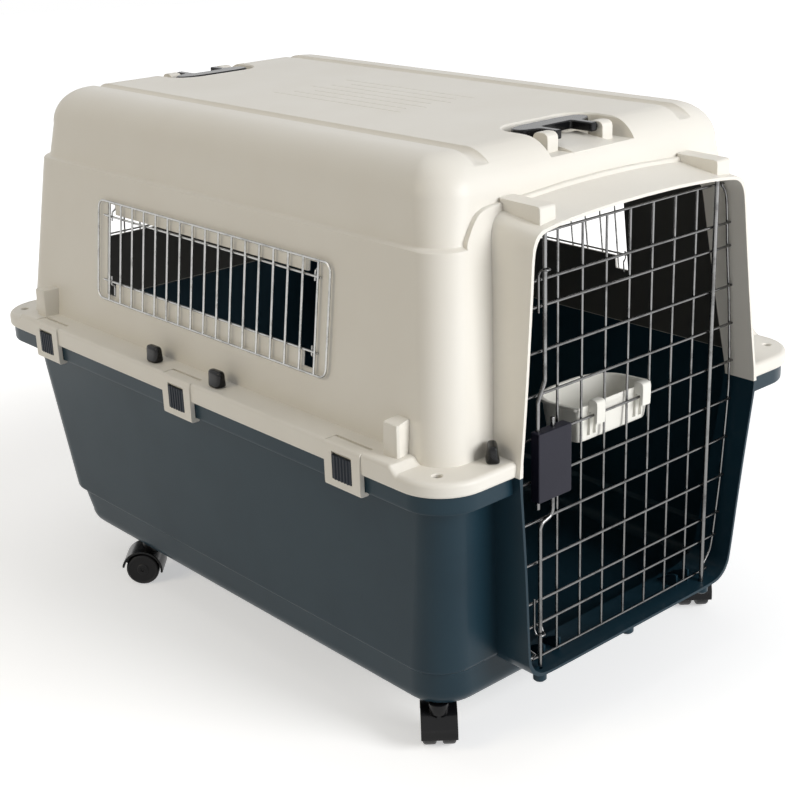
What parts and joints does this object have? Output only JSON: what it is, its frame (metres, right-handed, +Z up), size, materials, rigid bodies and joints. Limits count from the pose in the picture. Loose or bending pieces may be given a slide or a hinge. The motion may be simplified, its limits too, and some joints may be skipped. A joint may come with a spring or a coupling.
{
  "type": "pet travel crate",
  "caption": "Two-shell plastic pet crate with a hinged wire door, wire windows, snap clips, folding roof handles, a hang-on bowl and swivel casters.",
  "frame": {"origin": "on the floor, under the centre of the crate's bounding box", "axes": "+Z up, the door faces -Y, +X to the right of someone who faces the door's outside"},
  "size_m": [0.6802, 1.0036, 0.7349],
  "materials": {
    "ivory": "fine grain",
    "petrol": "fine grain",
    "wire": "bright plated",
    "black": "glossy",
    "bowl": "smooth",
    "wheel": "satin"
  },
  "bodies": {
    "crate": {"lower_shell": "petrol", "upper_shell": "ivory", "window_grille_left": "wire", "window_grille_right": "wire", "window_grille_rear": "wire", "bolt_left_1": "wire", "bolt_left_2": "wire", "bolt_front_left": "wire", "bolt_right_1": "wire", "bolt_right_2": "wire", "bolt_front_right": "wire", "clip_pin_left_1": "wire", "clip_pin_left_2": "wire", "clip_pin_left_3": "wire", "clip_pin_right_1": "wire", "clip_pin_right_2": "wire", "clip_pin_right_3": "wire"},
    "door": {"door_mesh": "wire", "latch_housing": "black", "latch_spring_upper": "wire", "latch_spring_lower": "wire"},
    "latch_rod_upper": {"latch_rod_upper": "wire"},
    "latch_rod_lower": {"latch_rod_lower": "wire"},
    "roof_handle_front": {"roof_handle_front": "black"},
    "roof_handle_rear": {"roof_handle_rear": "black"},
    "bowl": {"bowl": "bowl"},
    "clip_left_1": {"clip_left_1": "ivory"},
    "clip_left_2": {"clip_left_2": "ivory"},
    "clip_left_3": {"clip_left_3": "ivory"},
    "clip_right_1": {"clip_right_1": "ivory"},
    "clip_right_2": {"clip_right_2": "ivory"},
    "clip_right_3": {"clip_right_3": "ivory"},
    "clip_lock_left_1": {"clip_lock_left_1": "petrol"},
    "clip_lock_left_2": {"clip_lock_left_2": "petrol"},
    "clip_lock_left_3": {"clip_lock_left_3": "petrol"},
    "clip_lock_right_1": {"clip_lock_right_1": "petrol"},
    "clip_lock_right_2": {"clip_lock_right_2": "petrol"},
    "clip_lock_right_3": {"clip_lock_right_3": "petrol"},
    "knob_left_1": {"knob_left_1": "black"},
    "knob_left_2": {"knob_left_2": "black"},
    "knob_front_left": {"knob_front_left": "black"},
    "knob_right_1": {"knob_right_1": "black"},
    "knob_right_2": {"knob_right_2": "black"},
    "knob_front_right": {"knob_front_right": "black"},
    "caster_front_left": {"caster_front_left": "black"},
    "wheel_front_left_a": {"wheel_front_left_a": "wheel"},
    "wheel_front_left_b": {"wheel_front_left_b": "wheel"},
    "caster_rear_left": {"caster_rear_left": "black"},
    "wheel_rear_left_a": {"wheel_rear_left_a": "wheel"},
    "wheel_rear_left_b": {"wheel_rear_left_b": "wheel"},
    "caster_front_right": {"caster_front_right": "black"},
    "wheel_front_right_a": {"wheel_front_right_a": "wheel"},
    "wheel_front_right_b": {"wheel_front_right_b": "wheel"},
    "caster_rear_right": {"caster_rear_right": "black"},
    "wheel_rear_right_a": {"wheel_rear_right_a": "wheel"},
    "wheel_rear_right_b": {"wheel_rear_right_b": "wheel"}
  },
  "joints": [
    {"name": "door_hinge", "type": "hinge", "parent": "crate", "child": "door", "pos_m": [0.1535, -0.4766, 0.386], "axis": [0, 0, 1], "range_deg": [0, 150]},
    {"name": "latch_rod_upper_slide", "type": "slide", "parent": "door", "child": "latch_rod_upper", "axis": [0, 0, 1], "range_m": [-0.007, 0.008], "deforming": ["latch_spring_upper"]},
    {"name": "latch_rod_lower_slide", "type": "slide", "parent": "door", "child": "latch_rod_lower", "axis": [0, 0, 1], "range_m": [-0.008, 0.007], "deforming": ["latch_spring_lower"]},
    {"name": "roof_handle_front_hinge", "type": "hinge", "parent": "crate", "child": "roof_handle_front", "pos_m": [0, -0.38, 0.729], "axis": [1, 0, 0], "range_deg": [0, 100]},
    {"name": "roof_handle_rear_hinge", "type": "hinge", "parent": "crate", "child": "roof_handle_rear", "pos_m": [0, 0.395, 0.729], "axis": [-1, 0, 0], "range_deg": [0, 100]},
    {"name": "bowl_lift", "type": "slide", "parent": "door", "child": "bowl", "axis": [0, 0, 1], "range_m": [0, 0.025]},
    {"name": "clip_left_1_hinge", "type": "hinge", "parent": "crate", "child": "clip_left_1", "pos_m": [-0.3235, -0.333, 0.4067], "axis": [0, 1, 0], "range_deg": [0, 90]},
    {"name": "clip_left_2_hinge", "type": "hinge", "parent": "crate", "child": "clip_left_2", "pos_m": [-0.3235, 0.005, 0.4067], "axis": [0, 1, 0], "range_deg": [0, 90]},
    {"name": "clip_left_3_hinge", "type": "hinge", "parent": "crate", "child": "clip_left_3", "pos_m": [-0.3235, 0.343, 0.4067], "axis": [0, 1, 0], "range_deg": [0, 90]},
    {"name": "clip_right_1_hinge", "type": "hinge", "parent": "crate", "child": "clip_right_1", "pos_m": [0.3235, -0.333, 0.4067], "axis": [0, -1, 0], "range_deg": [0, 90]},
    {"name": "clip_right_2_hinge", "type": "hinge", "parent": "crate", "child": "clip_right_2", "pos_m": [0.3235, 0.005, 0.4067], "axis": [0, -1, 0], "range_deg": [0, 90]},
    {"name": "clip_right_3_hinge", "type": "hinge", "parent": "crate", "child": "clip_right_3", "pos_m": [0.3235, 0.343, 0.4067], "axis": [0, -1, 0], "range_deg": [0, 90]},
    {"name": "clip_lock_left_1_slide", "type": "slide", "parent": "clip_left_1", "child": "clip_lock_left_1", "axis": [0, 0, 1], "range_m": [0, 0.0035]},
    {"name": "clip_lock_left_2_slide", "type": "slide", "parent": "clip_left_2", "child": "clip_lock_left_2", "axis": [0, 0, 1], "range_m": [0, 0.0035]},
    {"name": "clip_lock_left_3_slide", "type": "slide", "parent": "clip_left_3", "child": "clip_lock_left_3", "axis": [0, 0, 1], "range_m": [0, 0.0035]},
    {"name": "clip_lock_right_1_slide", "type": "slide", "parent": "clip_right_1", "child": "clip_lock_right_1", "axis": [0, 0, 1], "range_m": [0, 0.0035]},
    {"name": "clip_lock_right_2_slide", "type": "slide", "parent": "clip_right_2", "child": "clip_lock_right_2", "axis": [0, 0, 1], "range_m": [0, 0.0035]},
    {"name": "clip_lock_right_3_slide", "type": "slide", "parent": "clip_right_3", "child": "clip_lock_right_3", "axis": [0, 0, 1], "range_m": [0, 0.0035]},
    {"name": "knob_left_1_spin", "type": "hinge", "parent": "crate", "child": "knob_left_1", "pos_m": [-0.3175, -0.062, 0.4128], "axis": [0, 0, 1], "continuous": true},
    {"name": "knob_left_2_spin", "type": "hinge", "parent": "crate", "child": "knob_left_2", "pos_m": [-0.3175, 0.082, 0.4128], "axis": [0, 0, 1], "continuous": true},
    {"name": "knob_front_left_spin", "type": "hinge", "parent": "crate", "child": "knob_front_left", "pos_m": [-0.234, -0.473, 0.404], "axis": [0, 0, 1], "continuous": true},
    {"name": "knob_right_1_spin", "type": "hinge", "parent": "crate", "child": "knob_right_1", "pos_m": [0.3175, -0.062, 0.4128], "axis": [0, 0, 1], "continuous": true},
    {"name": "knob_right_2_spin", "type": "hinge", "parent": "crate", "child": "knob_right_2", "pos_m": [0.3175, 0.082, 0.4128], "axis": [0, 0, 1], "continuous": true},
    {"name": "knob_front_right_spin", "type": "hinge", "parent": "crate", "child": "knob_front_right", "pos_m": [0.234, -0.473, 0.404], "axis": [0, 0, 1], "continuous": true},
    {"name": "caster_front_left_swivel", "type": "hinge", "parent": "crate", "child": "caster_front_left", "pos_m": [-0.2525, -0.392, 0.066], "axis": [0, 0, 1], "continuous": true},
    {"name": "wheel_front_left_a_spin", "type": "hinge", "parent": "caster_front_left", "child": "wheel_front_left_a", "pos_m": [-0.24397, -0.38219, 0.025], "axis": [0.7547, -0.6561, 0], "continuous": true},
    {"name": "wheel_front_left_b_spin", "type": "hinge", "parent": "caster_front_left", "child": "wheel_front_left_b", "pos_m": [-0.24397, -0.38219, 0.025], "axis": [0.7547, -0.6561, 0], "continuous": true},
    {"name": "caster_rear_left_swivel", "type": "hinge", "parent": "crate", "child": "caster_rear_left", "pos_m": [-0.2525, 0.252, 0.066], "axis": [0, 0, 1], "continuous": true},
    {"name": "wheel_rear_left_a_spin", "type": "hinge", "parent": "caster_rear_left", "child": "wheel_rear_left_a", "pos_m": [-0.26216, 0.2607, 0.025], "axis": [0.6691, 0.7431, 0], "continuous": true},
    {"name": "wheel_rear_left_b_spin", "type": "hinge", "parent": "caster_rear_left", "child": "wheel_rear_left_b", "pos_m": [-0.26216, 0.2607, 0.025], "axis": [0.6691, 0.7431, 0], "continuous": true},
    {"name": "caster_front_right_swivel", "type": "hinge", "parent": "crate", "child": "caster_front_right", "pos_m": [0.2525, -0.392, 0.066], "axis": [0, 0, 1], "continuous": true},
    {"name": "wheel_front_right_a_spin", "type": "hinge", "parent": "caster_front_right", "child": "wheel_front_right_a", "pos_m": [0.26103, -0.38219, 0.025], "axis": [0.7547, -0.6561, 0], "continuous": true},
    {"name": "wheel_front_right_b_spin", "type": "hinge", "parent": "caster_front_right", "child": "wheel_front_right_b", "pos_m": [0.26103, -0.38219, 0.025], "axis": [0.7547, -0.6561, 0], "continuous": true},
    {"name": "caster_rear_right_swivel", "type": "hinge", "parent": "crate", "child": "caster_rear_right", "pos_m": [0.2525, 0.252, 0.066], "axis": [0, 0, 1], "continuous": true},
    {"name": "wheel_rear_right_a_spin", "type": "hinge", "parent": "caster_rear_right", "child": "wheel_rear_right_a", "pos_m": [0.24284, 0.2607, 0.025], "axis": [0.6691, 0.7431, 0], "continuous": true},
    {"name": "wheel_rear_right_b_spin", "type": "hinge", "parent": "caster_rear_right", "child": "wheel_rear_right_b", "pos_m": [0.24284, 0.2607, 0.025], "axis": [0.6691, 0.7431, 0], "continuous": true}
  ]
}
